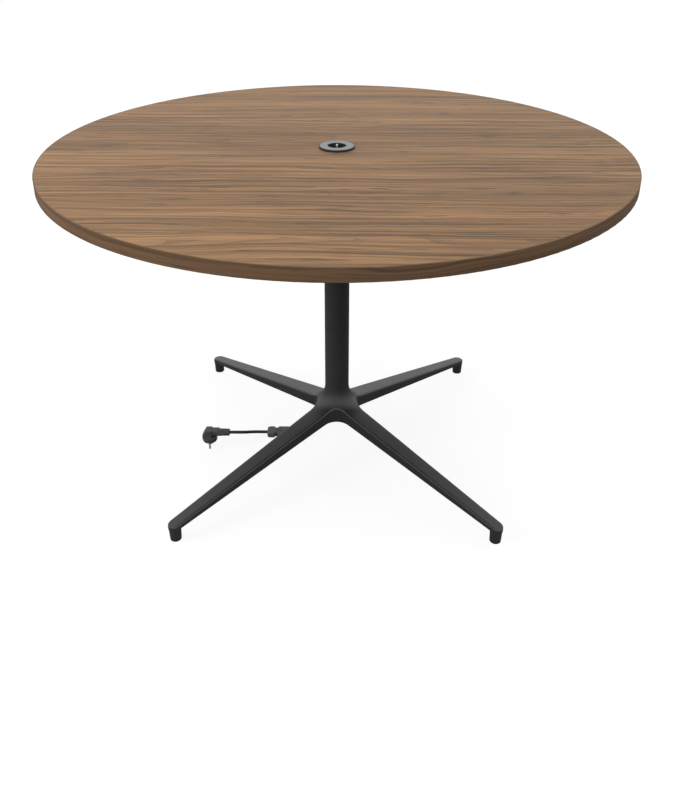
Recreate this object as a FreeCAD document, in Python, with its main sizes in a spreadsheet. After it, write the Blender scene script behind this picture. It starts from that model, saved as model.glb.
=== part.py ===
"""Round conference table: veneered top with a power socket, column and four-legged cast base.

Millimetres, +Z up, origin on the floor below the middle of the column.  The table is seen
along +Y, and the legs stand on the diagonals.
"""
import FreeCAD, Part
import math
import os
import Sketcher

Vector = FreeCAD.Vector
Z_AXIS = Vector(0, 0, 1)
LEG_ANGLES = {"front_left": 225, "front_right": 315, "rear_left": 135, "rear_right": 45}
SCREW_COUNT = 8
POCKET_COUNT = 4
COIL_TURNS_PER_LAYER = 2.5

# Driving dimensions, one cell each
DRIVING = {
    # Top
    "top_diameter": 1200.0,
    "table_height": 750.0,
    "top_thickness": 25.0,
    "veneer_thickness": 0.8,
    "band_thickness": 2.0,
    "band_rounding": 1.2,
    "socket_hole_diameter": 60.0,
    "insert_diameter": 10.0,
    "insert_length": 14.0,
    "screw_diameter": 6.0,
    "screw_head_diameter": 11.0,
    "screw_head_height": 3.3,
    "screw_seat_depth": 3.6,
    "screw_rim_margin": 40.0,
    # Support dish and column
    "dish_diameter": 600.0,
    "dish_rim": 3.0,
    "crease_radius": 150.0,
    "crease_depth": 7.0,
    "trumpet_height": 115.0,
    "trumpet_bend": 100.0,
    "trumpet_turn": 80.0,
    "trumpet_inner_turn": 75.0,
    "trumpet_wall": 6.0,
    "column_diameter": 56.0,
    "column_wall": 3.0,
    "spigot_length": 45.0,
    "spigot_wall": 4.0,
    "press_gap": 0.05,
    # Cast base
    "foot_circle_radius": 476.0,
    "leg_top_at_hub": 134.0,
    "leg_top_at_foot": 42.0,
    "leg_under_at_hub": 103.0,
    "leg_under_at_foot": 31.0,
    "leg_root_width": 46.0,
    "leg_tip_diameter": 28.0,
    "arch_radius": 40.0,
    "flare_radius": 55.0,
    "leg_edge_rounding": 4.0,
    "casting_wall": 5.0,
    "casting_rib": 3.0,
    "hollow_start_radius": 68.0,
    "hollow_end_radius": 444.0,
    "post_diameter": 24.5,
    # Glides
    "glide_diameter": 24.0,
    "glide_height": 6.0,
    "glide_rounding": 1.5,
    "glide_gap": 0.3,
    "glide_floor": 2.0,
    "stud_diameter": 8.0,
    "stud_length": 26.0,
    "thread_gap": 0.05,
    # Socket
    "flange_diameter": 74.0,
    "flange_height": 4.6,
    "flange_rounding": 1.0,
    "trim_thickness": 1.0,
    "trim_margin": 1.5,
    "housing_diameter": 58.0,
    "housing_wall": 2.5,
    "housing_depth": 56.0,
    "part_gap": 0.2,
    "well_diameter": 39.0,
    "well_depth": 17.5,
    "well_floor": 4.0,
    "pin_spacing": 19.0,
    "pin_hole_diameter": 5.6,
    "earth_pin_diameter": 4.8,
    "earth_pin_offset": 10.0,
    "earth_pin_sink": 0.2,
    "earth_pin_shank": 6.0,
    "shutter_length": 27.0,
    "shutter_width": 10.0,
    "shutter_thickness": 2.4,
    "shutter_travel": 8.0,
    "shutter_play": 0.3,
    "sleeve_diameter": 8.0,
    "sleeve_length": 18.0,
    "clamp_diameter": 82.0,
    "clamp_height": 9.0,
    # Supply lead
    "cord_diameter": 7.6,
    "gland_diameter": 22.0,
    "gland_thread_diameter": 16.0,
    "gland_thread_length": 10.0,
    "gland_drop": 20.0,
    "gland_axis_depth": 11.0,
    "gland_seat_margin": 3.0,
    "spout_diameter": 15.0,
    "spout_slope": 30.0,
    "spout_length": 24.0,
    "relief_length": 24.0,
    "relief_tip_diameter": 10.4,
    "coupler_width": 31.0,
    "coupler_height": 13.5,
    "coupler_half_length": 34.0,
    "coupler_collar_length": 18.5,
    "coupler_waist_width": 21.0,
    "coupler_waist_length": 8.5,
    "coupler_corner": 7.0,
    "coupler_waist_rounding": 2.2,
    "coupler_rounding": 1.6,
    "latch_length": 26.0,
    "latch_width": 9.0,
    "latch_height": 1.5,
    "plug_diameter": 36.0,
    "plug_draft": 1.0,
    "plug_skirt_height": 14.0,
    "plug_rounding": 3.0,
    "plug_head_height": 19.5,
    "plug_head_width": 22.0,
    "plug_head_reach": 6.0,
    "plug_head_lip": 1.5,
    "plug_head_rounding": 1.5,
    "plug_slant": 11.0,
    "plug_neck_width": 18.4,
    "plug_neck_rise": 9.0,
    "plug_neck_reach": 24.0,
    "plug_sleeve_diameter": 18.8,
    "plug_sleeve_tip_diameter": 17.6,
    "plug_sleeve_length": 25.0,
    "plug_pin_diameter": 4.8,
    "plug_pin_length": 19.0,
    "clip_width": 7.0,
    "clip_thickness": 1.2,
    "tie_width": 12.0,
    "tie_thickness": 0.8,
    "floor_gap": 0.4,
    "coil_gap": 0.6,
    "coil_outer_radius": 52.5,
}

# Where the lead lies on the floor: the plug, the coupler's end at the plug's side, the coil
PLUG_PLACE = (-310.5, -18.5)
COUPLER_PLACE = (-174.4, 33.6)
COIL_PLACE = (0.0, 176.0)

# Corners of the lead's free runs, between the gland, the coil, the coupler and the plug
END_RUN = 22.0
DROP_ROUTE = [(8.0, 80.0, 35.0), (24.0, 101.0, 18.0), (42.0, 123.0, 7.5)]
LEAD_ROUTE = [(-54.5, 123.0, 8.5), (-57.5, 100.0, 4.4), (-57.0, 63.8, 4.3), (-62.7, 49.9, 4.9),
              (-73.3, 39.3, 6.1), (-87.2, 33.6, 7.15)]
TAIL_ROUTE = [(-191.6, 33.6, 7.15), (-206.8, 27.1, 11.7), (-216.7, 15.5, 19.7), (-219.2, -0.4, 30.6),
              (-229.1, -12.0, 38.6), (-244.3, -18.5, 43.15)]

doc = FreeCAD.newDocument("round_table")
sheet = doc.addObject("Spreadsheet::Sheet", "Sizes")
for row, (alias, number) in enumerate(DRIVING.items(), start=1):
    sheet.set(f"A{row}", alias.replace("_", " "))
    sheet.set(f"B{row}", str(number))
    sheet.setAlias(f"B{row}", alias)
doc.recompute()


class Size:
    """A length that knows its number and the expression that gives it."""

    def __init__(self, number, text=None):
        self.number = float(number)
        self.text = text or repr(float(number))

    def __add__(self, other):
        other = as_size(other)
        return Size(self.number + other.number, f"({self.text} + {other.text})")

    def __sub__(self, other):
        other = as_size(other)
        return Size(self.number - other.number, f"({self.text} - {other.text})")

    def __mul__(self, other):
        other = as_size(other)
        return Size(self.number * other.number, f"({self.text} * {other.text})")

    def __truediv__(self, other):
        other = as_size(other)
        return Size(self.number / other.number, f"({self.text} / {other.text})")

    def root(self):
        return Size(math.sqrt(self.number), f"sqrt({self.text})")

    def cosine(self):
        return Size(math.cos(math.radians(self.number)), f"cos({self.text})")

    def sine(self):
        return Size(math.sin(math.radians(self.number)), f"sin({self.text})")


def as_size(value):
    return value if isinstance(value, Size) else Size(value)


def dim(alias):
    return Size(sheet.get(alias), f"Sizes.{alias}")


ZERO = Size(0.0)


# Tools that bind document objects to the sheet

def bind(thing, prop, value):
    thing.setExpression(prop, as_size(value).text)


def place(thing, x=0, y=0, z=0):
    for letter, value in (("x", x), ("y", y), ("z", z)):
        bind(thing, f".Placement.Base.{letter}", value)
    return thing


def origin_plane(body, role):
    return next(item for item in body.Origin.OriginFeatures if item.Role == role)


def new_body(name):
    return doc.addObject("PartDesign::Body", name)


def new_sketch(body, role, name="sketch"):
    sketch = body.newObject("Sketcher::SketchObject", name)
    sketch.AttachmentSupport = [(origin_plane(body, role), "")]
    sketch.MapMode = "FlatFace"
    return sketch


def pin_corner(sketch, index, across, up):
    """Hold the start of one outline segment at its two bound coordinates."""
    for kind, axis, value in (("DistanceX", -2, across), ("DistanceY", -1, up)):
        if value is ZERO:
            sketch.addConstraint(Sketcher.Constraint("PointOnObject", index, 1, axis))
            continue
        held = sketch.addConstraint(Sketcher.Constraint(kind, -1, 1, index, 1, value.number))
        sketch.setExpression(f"Constraints[{held}]", value.text)


def arc_between(start, end, middle, radius):
    """Circle arc from start to end about the middle, the short way round."""
    first = math.atan2(start.y - middle.y, start.x - middle.x)
    last = math.atan2(end.y - middle.y, end.x - middle.x)
    turn = (last - first + math.pi) % (2 * math.pi) - math.pi
    low, high = (first, first + turn) if turn > 0 else (first + turn, first)
    return Part.ArcOfCircle(Part.Circle(middle, Z_AXIS, radius), low, high), turn > 0


def draw_outline(sketch, corners, arcs=None):
    """Closed outline through bound corners; arcs maps a segment to its centre and radius."""
    arcs = arcs or {}
    points = [Vector(as_size(a).number, as_size(b).number, 0) for a, b in corners]
    ends = []
    for index, start in enumerate(points):
        end = points[(index + 1) % len(points)]
        forward = True
        if index in arcs:
            across, up, radius = arcs[index]
            middle = Vector(across.number, up.number, 0)
            curve, forward = arc_between(start, end, middle, radius.number)
        else:
            curve = Part.LineSegment(start, end)
        sketch.addGeometry(curve, False)
        ends.append((1, 2) if forward else (2, 1))
    for index, (across, up) in enumerate(corners):
        previous = index - 1 if index else len(corners) - 1
        sketch.addConstraint(
            Sketcher.Constraint("Coincident", previous, ends[previous][1], index, ends[index][0]))
    for index, (across, up) in enumerate(corners):
        if ends[index][0] == 1:
            pin_corner(sketch, index, as_size(across), as_size(up))
        else:
            pin_end(sketch, index, as_size(across), as_size(up))
    for index, (across, up, radius) in arcs.items():
        held = sketch.addConstraint(Sketcher.Constraint("Radius", index, radius.number))
        sketch.setExpression(f"Constraints[{held}]", radius.text)


def pin_end(sketch, index, across, up):
    """Hold the end of an arc that runs backwards at its two bound coordinates."""
    for kind, value in (("DistanceX", across), ("DistanceY", up)):
        held = sketch.addConstraint(Sketcher.Constraint(kind, -1, 1, index, 2, value.number))
        sketch.setExpression(f"Constraints[{held}]", value.text)


def revolved(name, corners, arcs=None):
    """Solid of revolution about Z from an outline in the XZ plane."""
    body = new_body(name)
    sketch = new_sketch(body, "XZ_Plane")
    draw_outline(sketch, corners, arcs)
    turn = body.newObject("PartDesign::Revolution", "turn")
    turn.Profile = sketch
    turn.ReferenceAxis = (sketch, ["V_Axis"])
    turn.Angle = 360.0
    return body


def ring(name, inner, outer, low, high):
    return revolved(name, [(inner, low), (outer, low), (outer, high), (inner, high)])


def cylinder(name, radius, height, x=0, y=0, z=0):
    made = doc.addObject("Part::Cylinder", name)
    bind(made, "Radius", radius)
    bind(made, "Height", height)
    return place(made, x, y, z)


def block(name, length, width, height, x=0, y=0, z=0):
    made = doc.addObject("Part::Box", name)
    bind(made, "Length", length)
    bind(made, "Width", width)
    bind(made, "Height", height)
    return place(made, x, y, z)


def cut(name, base, tool):
    made = doc.addObject("Part::Cut", name)
    made.Base = base
    made.Tool = tool
    return made


def fuse(name, *pieces):
    made = doc.addObject("Part::MultiFuse", name)
    made.Shapes = list(pieces)
    made.Refine = True
    return made


def common(name, first, second):
    made = doc.addObject("Part::Common", name)
    made.Base = first
    made.Tool = second
    return made


def plain(name, shape):
    """Feature for a shape that no bound object makes."""
    made = doc.addObject("Part::Feature", name)
    made.Shape = shape
    return made


def turned_copies(name, source, angles):
    """Separate copies of a piece, turned about the table's axis."""
    doc.recompute()
    copies = []
    for angle in angles:
        copy = source.Shape.copy()
        copy.rotate(Vector(), Z_AXIS, angle)
        copies.append(copy)
    return plain(name, Part.makeCompound(copies))


def rounded(name, source, radius, chosen):
    """Round the edges of a piece that the test picks."""
    doc.recompute()
    made = doc.addObject("Part::Fillet", name)
    made.Base = source
    numbered = enumerate(source.Shape.Edges, start=1)
    made.Edges = [(number, radius.number, radius.number) for number, edge in numbered if chosen(edge)]
    return made


# Levels and radii that several pieces share
top_radius = dim("top_diameter") / 2
table_height = dim("table_height")
board_under = table_height - dim("top_thickness")
core_radius = top_radius - dim("band_thickness")
hole_radius = dim("socket_hole_diameter") / 2
column_radius = dim("column_diameter") / 2
spigot_radius = column_radius - dim("column_wall") - dim("press_gap")
neck_level = board_under - dim("trumpet_height")
foot_radius = dim("foot_circle_radius")
cord_radius = dim("cord_diameter") / 2
leg_slope = (dim("leg_top_at_hub") - dim("leg_top_at_foot")) / foot_radius
under_slope = (dim("leg_under_at_hub") - dim("leg_under_at_foot")) / foot_radius
slope_length = (leg_slope * leg_slope + 1).root()
flare_reach = dim("flare_radius") * (slope_length - leg_slope)
shoulder_level = dim("leg_top_at_hub") - leg_slope * column_radius + flare_reach
screw_circle = dim("dish_diameter") / 2 - dim("screw_rim_margin")
screw_angles = [(index + 0.5) * 360.0 / SCREW_COUNT for index in range(SCREW_COUNT)]


def leg_top(radius):
    return dim("leg_top_at_hub") - leg_slope * radius


def leg_under(radius):
    return dim("leg_under_at_hub") - under_slope * radius


gland_seat_radius = dim("gland_diameter") / 2 + dim("gland_seat_margin")
gland_seat = leg_under(gland_seat_radius)


# Table top: core, two veneers, edge band, threaded inserts

def build_top():
    veneer = dim("veneer_thickness")
    insert_bore = cylinder("insert_bore", dim("insert_diameter") / 2 + dim("press_gap"),
                           dim("insert_length"), x=screw_circle, z=board_under)
    bores = turned_copies("insert_bores", insert_bore, screw_angles)
    core_disc = ring("core_disc", hole_radius, core_radius, board_under + veneer, table_height - veneer)
    core = cut("top_core", core_disc, bores)
    backing_disc = ring("backing_disc", hole_radius, core_radius, board_under, board_under + veneer)
    backing = cut("backing_veneer", backing_disc, bores)
    face = ring("top_veneer", hole_radius, core_radius, table_height - veneer, table_height)
    soft = dim("band_rounding")
    outer = top_radius - soft
    band = revolved("edge_band", [
        (core_radius, board_under),
        (outer, board_under),
        (top_radius, board_under + soft),
        (top_radius, table_height - soft),
        (outer, table_height),
        (core_radius, table_height),
    ], {1: (outer, board_under + soft, soft), 3: (outer, table_height - soft, soft)})
    sleeve = cut("insert_sleeve",
                 cylinder("insert_outside", dim("insert_diameter") / 2, dim("insert_length"),
                          x=screw_circle, z=board_under),
                 cylinder("insert_thread", dim("screw_diameter") / 2 + dim("thread_gap"),
                          dim("insert_length"), x=screw_circle, z=board_under))
    inserts = turned_copies("threaded_inserts", sleeve, screw_angles)
    return [core, face, backing, band, inserts]


# Support dish: spigot, trumpet and thin disc in one turned casting, with its screws

def build_dish():
    bend = dim("trumpet_bend")
    wall = dim("trumpet_wall")
    turn = dim("trumpet_turn")
    inner_turn = dim("trumpet_inner_turn")
    middle = column_radius + bend
    inside = bend + wall
    inner_radius = column_radius - wall
    mouth_radius = middle - inside * inner_turn.cosine()
    rim_radius = dim("dish_diameter") / 2
    low = neck_level - dim("spigot_length")
    casting = revolved("dish_casting", [
        (inner_radius, low),
        (spigot_radius, low),
        (spigot_radius, neck_level),
        (column_radius, neck_level),
        (middle - bend * turn.cosine(), neck_level + bend * turn.sine()),
        (dim("crease_radius"), board_under - dim("crease_depth")),
        (rim_radius, board_under - dim("dish_rim")),
        (rim_radius, board_under),
        (mouth_radius, board_under),
        (mouth_radius, neck_level + inside * inner_turn.sine()),
        (inner_radius, neck_level),
    ], {3: (middle, neck_level, bend), 9: (middle, neck_level, inside)})
    seat = board_under - dim("screw_seat_depth")
    bore = cylinder("screw_bore", dim("screw_diameter") / 2 + dim("part_gap"),
                    dim("top_thickness"), x=screw_circle, z=seat)
    spot = cylinder("screw_spot_face", dim("screw_head_diameter") / 2 + dim("part_gap"),
                    dim("screw_head_height"), x=screw_circle, z=seat - dim("screw_head_height"))
    holes = turned_copies("dish_holes", fuse("dish_hole", bore, spot), screw_angles)
    dish = cut("support_dish", casting, holes)
    shank = cylinder("screw_shank", dim("screw_diameter") / 2,
                     dim("screw_seat_depth") + dim("insert_length"), x=screw_circle, z=seat)
    head = cylinder("screw_head", dim("screw_head_diameter") / 2, dim("screw_head_height"),
                    x=screw_circle, z=seat - dim("screw_head_height"))
    screws = turned_copies("dish_screws", fuse("dish_screw", shank, head), screw_angles)
    return [dish, screws]


def build_column():
    return [ring("column_tube", column_radius - dim("column_wall"), column_radius,
                 shoulder_level, neck_level)]


# Cast base: flared hub and four tapering legs, hollow below, with a post at each leg end

def leg_outline(name, root, tip, height):
    """Upright block with the plan of one leg along X: two tangents round a root and a tip circle."""
    lean = (root - tip) / foot_radius
    square = (Size(1.0) - lean * lean).root()
    inner = ZERO - root / 2
    half_in = (root - inner * lean) / square
    touch = foot_radius + tip * lean
    half_out = tip * square
    body = new_body(name)
    sketch = new_sketch(body, "XY_Plane")
    draw_outline(sketch, [
        (inner, ZERO - half_in),
        (touch, ZERO - half_out),
        (foot_radius + tip, ZERO),
        (touch, half_out),
        (inner, half_in),
    ], {1: (foot_radius, ZERO, tip), 2: (foot_radius, ZERO, tip)})
    pad = body.newObject("PartDesign::Pad", "pad")
    pad.Profile = sketch
    bind(pad, "Length", height)
    doc.recompute()
    pattern = body.newObject("PartDesign::PolarPattern", "legs")
    pattern.Originals = [pad]
    pattern.Axis = (sketch, ["N_Axis"])
    pattern.Angle = 360.0
    pattern.Occurrences = len(LEG_ANGLES)
    body.Tip = pattern
    doc.recompute()
    return body


def is_upright(edge):
    ends = [vertex.Point for vertex in edge.Vertexes]
    return len(ends) == 2 and abs(ends[0].x - ends[1].x) + abs(ends[0].y - ends[1].y) < 1e-6


def axis_distance(point):
    return math.hypot(point.x, point.y)


def base_blank():
    """The legs' plan, arched where legs meet, cut to the height of a turned flare and two slopes."""
    plan = leg_outline("leg_plan", dim("leg_root_width") / 2, dim("leg_tip_diameter") / 2,
                       shoulder_level)
    legs = plan.Tip
    corners = [f"Edge{number}" for number, edge in enumerate(legs.Shape.Edges, start=1)
               if is_upright(edge) and axis_distance(edge.Vertexes[0].Point) < foot_radius.number / 2]
    arch = plan.newObject("PartDesign::Fillet", "arches")
    arch.Base = (legs, corners)
    bind(arch, "Radius", dim("arch_radius"))
    plan.Tip = arch
    plan.Placement.Rotation = FreeCAD.Rotation(Z_AXIS, 45)
    reach = foot_radius + dim("leg_tip_diameter")
    touch = column_radius + flare_reach / slope_length
    envelope = revolved("leg_envelope", [
        (ZERO, gland_seat),
        (gland_seat_radius, gland_seat),
        (reach, leg_under(reach)),
        (reach, leg_top(reach)),
        (touch, leg_top(touch)),
        (column_radius, shoulder_level),
        (ZERO, shoulder_level),
    ], {4: (column_radius + dim("flare_radius"), shoulder_level, dim("flare_radius"))})
    return common("leg_blank", plan, envelope)


def base_hollow():
    """Pockets below the legs, with a rib between each and the next."""
    wall = dim("casting_wall")
    inner_plan = leg_outline("hollow_plan", dim("leg_root_width") / 2 - wall,
                             dim("leg_tip_diameter") / 2 - wall, shoulder_level)
    inner_plan.Placement.Rotation = FreeCAD.Rotation(Z_AXIS, 45)
    start = dim("hollow_start_radius")
    step = (dim("hollow_end_radius") - start + dim("casting_rib")) / POCKET_COUNT
    rings = []
    for index in range(POCKET_COUNT):
        near = start + step * index
        far = near + step - dim("casting_rib")
        rings.append(revolved(f"hollow_ring_{index}", [
            (near, dim("glide_height")),
            (far, dim("glide_height")),
            (far, leg_top(far) - wall),
            (near, leg_top(near) - wall),
        ]))
    return common("leg_pockets", inner_plan, fuse("hollow_rings", *rings))


def base_top_edges(shape):
    """Test for the edges where an upright wall of the blank meets its sloped or flared top."""
    picked = []
    for edge in shape.Edges:
        faces = shape.ancestorsOfType(edge, Part.Face)
        middle = edge.valueAt((edge.FirstParameter + edge.LastParameter) / 2)
        radius = axis_distance(middle)
        if len(faces) != 2 or is_upright(edge) or radius < column_radius.number + 1:
            continue
        level = (leg_top(as_size(radius)).number + leg_under(as_size(radius)).number) / 2
        walls = [face for face in faces if abs(face.normalAt(*face.Surface.parameter(middle)).z) < 1e-6]
        if len(walls) == 1 and middle.z > level:
            picked.append(edge)
    return lambda edge: any(edge.isSame(other) for other in picked)


def build_base():
    blank = base_blank()
    doc.recompute()
    soft = rounded("leg_soft", blank, dim("leg_edge_rounding"), base_top_edges(blank.Shape))
    hollowed = cut("leg_hollowed", soft, base_hollow())
    post_low = dim("glide_height") + dim("glide_gap")
    post = doc.addObject("Part::Cone", "post")
    bind(post, "Radius1", dim("post_diameter") / 2)
    bind(post, "Radius2", dim("leg_tip_diameter") / 2 - dim("part_gap"))
    bind(post, "Height", dim("leg_top_at_foot") - dim("leg_edge_rounding") - post_low)
    place(post, x=foot_radius, z=post_low)
    posts = turned_copies("posts", post, LEG_ANGLES.values())
    spigot = cylinder("hub_spigot", spigot_radius, dim("spigot_length") + dim("flare_radius"),
                      z=shoulder_level - dim("flare_radius"))
    solid = fuse("base_solid", hollowed, posts, spigot)
    stud_bore = cylinder("stud_bore", dim("stud_diameter") / 2 + dim("thread_gap"),
                         dim("stud_length"), x=foot_radius, z=dim("glide_floor") + dim("glide_gap"))
    stud_bores = turned_copies("stud_bores", stud_bore, LEG_ANGLES.values())
    wire_bore = cylinder("wire_bore", spigot_radius - dim("spigot_wall"),
                         dim("spigot_length") + flare_reach, z=shoulder_level - flare_reach)
    gland_bore = cylinder("gland_bore", dim("gland_thread_diameter") / 2 + dim("thread_gap"),
                          shoulder_level)
    bored = fuse("base_bores", stud_bores, wire_bore, gland_bore)
    return [cut("base_casting", solid, bored)]


# Levelling glides: a rounded pad pressed on a stud that screws into the post

def build_glides():
    made = []
    radius = dim("glide_diameter") / 2
    soft = dim("glide_rounding")
    high = dim("glide_height")
    bore = dim("stud_diameter") / 2 + dim("press_gap")
    for corner, angle in LEG_ANGLES.items():
        turn = FreeCAD.Rotation(Z_AXIS, angle)
        pad = revolved(f"glide_pad_{corner}", [
            (ZERO, ZERO),
            (radius - soft, ZERO),
            (radius, soft),
            (radius, high),
            (bore, high),
            (bore, dim("glide_floor")),
            (ZERO, dim("glide_floor")),
        ], {1: (radius - soft, soft, soft)})
        stud = cylinder(f"glide_stud_{corner}", dim("stud_diameter") / 2,
                        dim("stud_length") - dim("glide_gap"), z=dim("glide_floor"))
        for piece in (pad, stud):
            level = piece.Placement.Base.z
            spot = turn.multVec(Vector(foot_radius.number, 0, level))
            bind(piece, ".Placement.Base.x", foot_radius * (spot.x / foot_radius.number))
            bind(piece, ".Placement.Base.y", foot_radius * (spot.y / foot_radius.number))
            made.append(piece)
    return made


# Power socket: flanged housing, trim ring, insert with the well, contacts, shutter, clamp ring

flange_top = table_height + dim("flange_height")
trim_level = flange_top - dim("trim_thickness")
well_level = flange_top - dim("well_depth")
carrier_top = well_level - dim("well_floor")
inner_radius = dim("housing_diameter") / 2 - dim("housing_wall")
housing_floor = table_height - dim("housing_depth") + dim("housing_wall")
shutter_level = carrier_top - dim("shutter_thickness") - dim("shutter_play")


def pin_pair(name, radius, height, z):
    half = dim("pin_spacing") / 2
    left = cylinder(f"{name}_left", radius, height, x=ZERO - half, z=z)
    right = cylinder(f"{name}_right", radius, height, x=half, z=z)
    return fuse(name, left, right)


def build_socket():
    flange_radius = dim("flange_diameter") / 2
    soft = dim("flange_rounding")
    outside = dim("housing_diameter") / 2
    low = table_height - dim("housing_depth")
    trim_radius = flange_radius - dim("trim_margin")
    wire = cord_radius + dim("part_gap")
    housing = revolved("socket_housing", [
        (wire, low),
        (outside, low),
        (outside, table_height),
        (flange_radius, table_height),
        (flange_radius, flange_top - soft),
        (flange_radius - soft, flange_top),
        (trim_radius + dim("part_gap"), flange_top),
        (trim_radius + dim("part_gap"), trim_level),
        (inner_radius, trim_level),
        (inner_radius, housing_floor),
        (wire, housing_floor),
    ], {4: (flange_radius - soft, flange_top - soft, soft)})
    well_radius = dim("well_diameter") / 2
    trim = ring("trim_ring", well_radius, trim_radius, trim_level, flange_top)
    fitted = inner_radius - dim("part_gap")
    insert_cup = revolved("insert_cup", [
        (ZERO, carrier_top),
        (fitted, carrier_top),
        (fitted, trim_level),
        (well_radius, trim_level),
        (well_radius, well_level),
        (ZERO, well_level),
    ])
    earth_radius = dim("earth_pin_diameter") / 2
    shank_level = carrier_top - dim("earth_pin_shank")
    earth_bore = cylinder("earth_bore", earth_radius + dim("press_gap"),
                          dim("well_floor") + dim("earth_pin_shank"),
                          y=dim("earth_pin_offset"), z=shank_level)
    floor_holes = pin_pair("floor_holes", dim("pin_hole_diameter") / 2, dim("well_floor"), carrier_top)
    insert = cut("socket_insert", insert_cup, fuse("insert_holes", floor_holes, earth_bore))
    pin_top = flange_top - dim("earth_pin_sink") - earth_radius
    pin = revolved("earth_pin", [
        (ZERO, shank_level),
        (earth_radius, shank_level),
        (earth_radius, pin_top),
        (ZERO, pin_top + earth_radius),
    ], {2: (ZERO, pin_top, earth_radius)})
    bind(pin, ".Placement.Base.y", dim("earth_pin_offset"))
    return [housing, trim, insert, pin] + build_contacts(fitted, earth_bore) + [
        ring("clamp_ring", outside + dim("thread_gap"), dim("clamp_diameter") / 2,
             board_under - dim("clamp_height"), board_under)]


def build_contacts(fitted, earth_bore):
    """Contact carrier with its sleeves, and the shutter that slides over them."""
    play = dim("shutter_play")
    long_side = dim("shutter_length")
    wide = dim("shutter_width")
    disc = cylinder("carrier_disc", fitted, carrier_top - housing_floor, z=housing_floor)
    sleeve_low = shutter_level - dim("sleeve_length")
    track = block("shutter_track", long_side + play * 2, wide + dim("shutter_travel") + play * 2,
                  dim("shutter_thickness") + play,
                  x=ZERO - long_side / 2 - play, y=ZERO - wide / 2 - dim("shutter_travel") - play,
                  z=shutter_level)
    sleeve_bores = pin_pair("sleeve_bores", dim("sleeve_diameter") / 2 + dim("press_gap"),
                            dim("sleeve_length"), sleeve_low)
    carrier = cut("contact_carrier", disc, fuse("carrier_bores", track, sleeve_bores, earth_bore))
    sleeves = cut("contact_sleeves",
                  pin_pair("sleeve_outsides", dim("sleeve_diameter") / 2,
                           dim("sleeve_length") - play, sleeve_low),
                  pin_pair("sleeve_insides", dim("plug_pin_diameter") / 2 + dim("thread_gap"),
                           dim("sleeve_length"), sleeve_low + dim("well_floor") / 2))
    shutter = block("pin_shutter", long_side, wide, dim("shutter_thickness"),
                    x=ZERO - long_side / 2, y=ZERO - wide / 2, z=shutter_level + play / 2)
    return [carrier, sleeves, shutter]


# Feed cable in the column, and the gland below the hub that lets the lead out

gland_low = gland_seat - dim("gland_drop")
spout_level = gland_seat - dim("gland_axis_depth")
spout_lean = FreeCAD.Rotation(Vector(1, 0, 0), -90 - dim("spout_slope").number)


def on_spout(piece, along=0.0):
    """Lay a piece made along Z on the gland's slanted spout."""
    start = spout_lean.multVec(Vector(0, 0, along)) + Vector(0, 0, spout_level.number)
    piece.Placement = FreeCAD.Placement(start, spout_lean)
    return piece


def build_feed():
    wire_end = gland_seat
    feed = cylinder("feed_cable", cord_radius, housing_floor - wire_end, z=wire_end)
    barrel = cylinder("gland_barrel", dim("gland_diameter") / 2, dim("gland_drop"), z=gland_low)
    thread = cylinder("gland_thread", dim("gland_thread_diameter") / 2,
                      dim("gland_drop") + dim("gland_thread_length"), z=gland_low)
    spout = on_spout(cylinder_along("gland_spout", dim("spout_diameter") / 2, dim("spout_length")))
    body = fuse("gland_solid", barrel, thread, spout)
    wire_hole = cylinder("gland_wire_hole", cord_radius + dim("part_gap"),
                         dim("gland_drop") + dim("gland_thread_length"), z=wire_end)
    gland = cut("cable_gland", body, wire_hole)
    relief = doc.addObject("Part::Cone", "relief_cone")
    bind(relief, "Radius1", dim("spout_diameter") / 2)
    bind(relief, "Radius2", dim("relief_tip_diameter") / 2)
    bind(relief, "Height", dim("relief_length"))
    relief.Label = "gland_relief"
    on_spout(relief, dim("spout_length").number)
    return [feed, gland, relief]


def cylinder_along(name, radius, height):
    """Cylinder with bound sizes whose place is set afterwards."""
    made = doc.addObject("Part::Cylinder", name)
    bind(made, "Radius", radius)
    bind(made, "Height", height)
    return made


# Cord paths: straight runs with tangent arcs, and a coil of half turns

ARC_SHARE = 0.45


def rounded_path(name, points):
    """Edges of a route with an arc at each corner as large as its two runs allow."""
    edges = []
    radii = []
    here = points[0]
    for before, corner, after in zip(points, points[1:], points[2:]):
        back = before - corner
        ahead = after - corner
        turn = math.pi - back.getAngle(ahead)
        trim = ARC_SHARE * min(back.Length, ahead.Length)
        radius = trim / math.tan(turn / 2)
        radii.append(round(radius))
        back.normalize()
        ahead.normalize()
        start = corner + back * trim
        end = corner + ahead * trim
        inward = back + ahead
        inward.normalize()
        middle = corner + inward * (radius / math.cos(turn / 2) - radius)
        edges.append(Part.LineSegment(here, start).toShape())
        edges.append(Part.Arc(start, middle, end).toShape())
        here = end
    edges.append(Part.LineSegment(here, points[-1]).toShape())
    print(f"{name}: arc radii {radii}")
    return edges


def tube(name, edges):
    """Round cord along a path; its volume is compared with its section times its length."""
    wire = Part.Wire(edges)
    start = edges[0].valueAt(edges[0].FirstParameter)
    heading = edges[0].tangentAt(edges[0].FirstParameter)
    section = Part.Wire([Part.Circle(start, heading, cord_radius.number).toShape()])
    solid = wire.makePipeShell([section], True, False)
    share = solid.Volume / (math.pi * cord_radius.number ** 2 * wire.Length)
    print(f"{name}: length {wire.Length:.1f}, volume share {share:.4f}")
    return plain(name, solid)


def arc_from(start, heading, end):
    """Arc from a point along a heading to another point."""
    chord = end - start
    along = chord * (1 / chord.Length)
    aside = heading - along * heading.dot(along)
    aside.normalize()
    swing = heading.getAngle(chord)
    return Part.Arc(start, (start + end) * 0.5 + aside * (chord.Length / 2 * math.tan(swing / 2)), end)


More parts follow.
